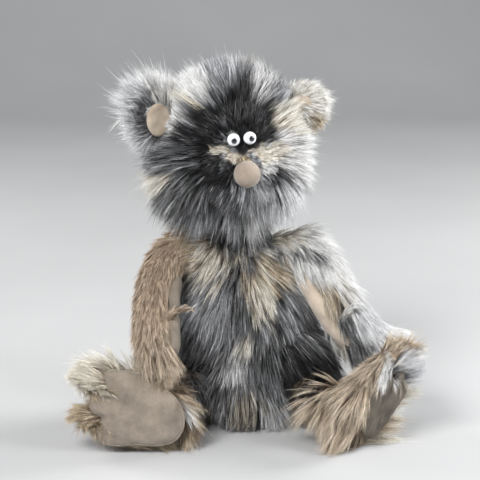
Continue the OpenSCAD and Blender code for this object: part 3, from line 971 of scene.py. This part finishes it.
def sole(side, foot_frame):
    """A crowned suede pad with a rolled seam"""
    rim = sole_rim(side)
    n = len(rim)
    middle = np.array([-2.0, -2.0])
    rings = np.array([0.06, 0.2, 0.36, 0.52, 0.66, 0.78, 0.87, 0.94, 0.98, 1.0])
    top = [[*(middle + (r - middle) * s), 4.4 * (1 - s ** 5) ** 0.5 - 1.0] for s in rings for r in rim]
    top = np.array(top)
    top[:, 2] += 0.7 * ripple(top, 26, 101 + len(side)) * (1 - (np.repeat(rings, n)) ** 6)
    low = np.array([[*r, -3.0] for r in rim])
    points = moved(np.concatenate([top, low]), foot_frame)
    mesh = mesh_of(f"sole_{side}", points, ring_faces(len(rings) + 1, n))
    wrinkled(mesh, 0.3, 7, 103)
    piece(f"sole_{side}", mesh, f"foot_{side}", SUEDE_SOLE[side], (f"foot_{side}_sole",))
    bead, sides = 1.15, 10              # radius of the seam's roll, and its facets
    ways = unit(np.roll(rim, -1, 0) - np.roll(rim, 1, 0))
    out = np.stack([ways[:, 1], -ways[:, 0]], 1)
    points = [[*(rim[i] + out[i] * bead * math.cos(a)), -0.9 + bead * math.sin(a)]
              for i in range(n) for a in np.arange(sides) * 2 * math.pi / sides]
    mesh = mesh_of(f"sole_{side}_seam", moved(points, foot_frame), ring_faces(n, sides, closed=True))
    piece(f"sole_{side}_seam", mesh, f"foot_{side}", SUEDE_SOLE[side])


def foot_r_paint(points):
    return paint(points, front_view(points), SAND, [
        ((-134, 66), (44, 22), CREAM), ((-123, -24), (40, 9), SAND), ((-62, -18), (26, 20), SAND),
        ((-48, -12), (12, 16), BROWN), ((-75, 24), (16, 20), TAN), ((-62, 10), (6, 10), WHITE),
        ((-160, 42), (22, 14), CREAM), ((-160, 6), (20, 16), SAND)], 111, 0.35)


def foot_l_paint(points):
    return paint(points, front_view(points), BEIGE, [
        ((133, 50), (10, 15), WHITE), ((161, 50), (20, 20), FROST), ((166, 16), (24, 18), CREAM),
        ((140, -16), (28, 12), CREAM)], 113, 0.35)


def foot(side, m, painter):
    body = f"foot_{side}"
    mesh = lumps(f"{body}_skin", [
        ((4, -1.5, -16), (31, 28.5, 15)), ((-20, -10, -19), (20, 22, 17)), ((8, -16, -16), (26, 16, 14)),
        (ANKLE, (17, 15, 15)), ((20, 22, -11), (45, 25, -9), 10, 7.5),
        ((22, -10, -11), (46, -10, -9), 10, 7.5)], m, 2.0, 5)
    skin(f"{body}_skin", mesh, body, painter,
         (f"{body}_upper", f"{body}_toes", f"{body}_stuffing"))
    p, n = scatter(mesh, 3600, rng)
    local = back(p, m)
    ways = turned(n, m.inverted())
    tips = smooth(26, 36, local[:, 0])
    shape = sole_rim(side)
    turn = np.arctan2(shape[:, 1], shape[:, 0])
    order = np.argsort(turn)
    reach = np.interp(np.arctan2(local[:, 1], local[:, 0]), turn[order], np.hypot(*shape.T)[order])
    open_rim = np.hypot(local[:, 0], local[:, 1]) > reach - 1
    keep = ((ways[:, 2] < 0.5) | open_rim) & (p[:, 2] > 2) & (rng.random(len(p)) < 0.5 + 0.5 * tips)
    p, n, local, tips, inner = p[keep], n[keep], local[keep], tips[keep], ways[keep, 1]
    away = local - np.array([-4, 0, 0])
    away[:, 2] = 6
    away[:, 0] += 60 * tips + 12
    away = unit(away)
    heel = smooth(-18, -34, local[:, 0])
    fringe = smooth(0.2, 0.7, -inner)
    if side == "left":
        above = np.zeros(len(p))
        medial = smooth(-0.3, 0.3, inner) * smooth(46, 32, local[:, 0])
        away = away * (1 - medial)[:, None] + np.array([-1.0, 0, 0.15]) * medial[:, None]
        parting = np.exp(-((local[:, 0] - 40) / 8) ** 2) * smooth(0, 0.5, inner)
        mane = np.maximum(medial * smooth(25, -20, local[:, 0]), heel)
        length = (25 - 5 * tips + 15 * mane + 12 * fringe) * (1 - 0.55 * parting)
        outward = np.array([1.6, -0.3, 0.1])
    else:
        above = smooth(0.2, 0.8, n[:, 2]) * (1 - tips) * (1 - heel)
        length = 24 - 6 * tips + 12 * above + 12 * heel
        fringe *= 0.9 * smooth(-25, -5, local[:, 0])
        outward = np.array([1.5, -0.8, 0.0])
    comb = turned(away, m) + DOWN * (0.25 * (1 - tips) - 0.5 * above)[:, None]
    comb = along_surface(comb + outward * fringe[:, None], n)
    comb = swayed(comb, p, n, 26, 0.2, 23)
    length = length * (1 + 0.15 * ripple(p, 20, 115))
    middle = p + (comb * 0.5 + n * 0.2) * length[:, None]
    fur(f"{body}_fur", body, "tan_fur", p, n, comb, length, painter(middle), rng, lift=(0.7, 0.25),
        droop=0.12, shade=0.3, gather=(0.1, 0.6))


foot("right", FOOT_R, foot_r_paint)
foot("left", FOOT_L, foot_l_paint)
sole("right", FOOT_R)
sole("left", FOOT_L)


# ---------------------------------------------------------------- the pieces inside

def dress(nodes, mat):
    """A better material for CAD pieces that stay as they are"""
    for name in nodes:
        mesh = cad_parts[name].data
        mesh.materials.clear()
        mesh.materials.append(mat)


POUCH, _ = plastic_material("pouch_cloth", (0.82, 0.80, 0.72), (0.66, 0.63, 0.55), 0.9, 900)
PELLETS, _ = plastic_material("pellets", (0.80, 0.80, 0.77), (0.50, 0.50, 0.48), 0.6, 500)
WASHER, _ = plastic_material("washer_plastic", (0.84, 0.84, 0.84), (0.72, 0.72, 0.72), 0.45)
dress(["seat_pouch"], POUCH)
dress(["pouch_pellets"], PELLETS)
dress(["eye_washer_right", "eye_washer_left"], WASHER)


# ---------------------------------------------------------------- floor, light and camera

def backdrop():
    """A pale paper sheet: the floor, a round cove and the wall behind, in metres"""
    edge, cove = 1.6, 0.9
    turn = np.linspace(0.1, math.pi / 2, 14)
    profile = [(-3.0, 0.0), (edge, 0.0)]
    profile += [(edge + cove * math.sin(a), cove - cove * math.cos(a)) for a in turn]
    profile += [(edge + cove, 4.0)]
    points = [(x, y, z) for y, z in profile for x in (-4.0, 4.0)]
    faces = [(2 * i, 2 * i + 1, 2 * i + 3, 2 * i + 2) for i in range(len(profile) - 1)]
    mesh = bpy.data.meshes.new("floor")
    mesh.from_pydata(points, [], faces)
    mesh.polygons.foreach_set("use_smooth", [True] * len(mesh.polygons))
    m, nodes, links, shader = material("floor_paper", 0.9, 0.1)
    noise = noise_node(nodes, links, 3, 2)
    ramp = ramp_node(nodes, links, noise.outputs["Fac"], [(0.3, (0.42,) * 3), (0.7, (0.45,) * 3)])
    links.new(ramp.outputs["Color"], shader.inputs["Base Color"])
    mesh.materials.append(m)
    ob = bpy.data.objects.new("floor", mesh)
    bpy.context.scene.collection.objects.link(ob)


def lamp(name, place, aim, size, watts, colour=(1, 1, 1)):
    data = bpy.data.lights.new(name, "AREA")
    data.shape = "DISK"
    data.size = size
    data.energy = watts
    data.color = colour
    ob = bpy.data.objects.new(name, data)
    bpy.context.scene.collection.objects.link(ob)
    ob.location = place
    ob.rotation_euler = (Vector(aim) - Vector(place)).to_track_quat("-Z", "Y").to_euler()


backdrop()
world = bpy.data.worlds.new("studio")
bpy.context.scene.world = world
bpy.context.scene.view_settings.view_transform = "Standard"
world.use_nodes = True
world.node_tree.nodes["Background"].inputs["Color"].default_value = (0.9, 0.95, 1.0, 1)
world.node_tree.nodes["Background"].inputs["Strength"].default_value = 0.26
TARGET = Vector((-0.0095, 0, 0.173))
lamp("key", (-0.7, -1.3, 1.4), TARGET, 0.8, 44)
lamp("fill", (1.4, -0.8, 0.8), TARGET, 0.7, 19, (0.97, 0.98, 1.0))
lamp("rim_left", (-1.3, 0.7, 0.9), TARGET, 0.6, 14)
lamp("rim_right", (1.3, 0.5, 0.9), TARGET, 0.6, 26)

camera = bpy.data.cameras.new("camera")
camera.sensor_width = 36
camera.lens = 18 / math.tan(math.radians(14.4) / 2)
view = bpy.data.objects.new("camera", camera)
bpy.context.scene.collection.objects.link(view)
view.location = TARGET + Vector((0, -math.cos(VIEW_RISE), math.sin(VIEW_RISE))) * VIEW_FAR
view.rotation_euler = (TARGET - view.location).to_track_quat("-Z", "Y").to_euler()
bpy.context.scene.camera = view

bpy.context.view_layer.update()
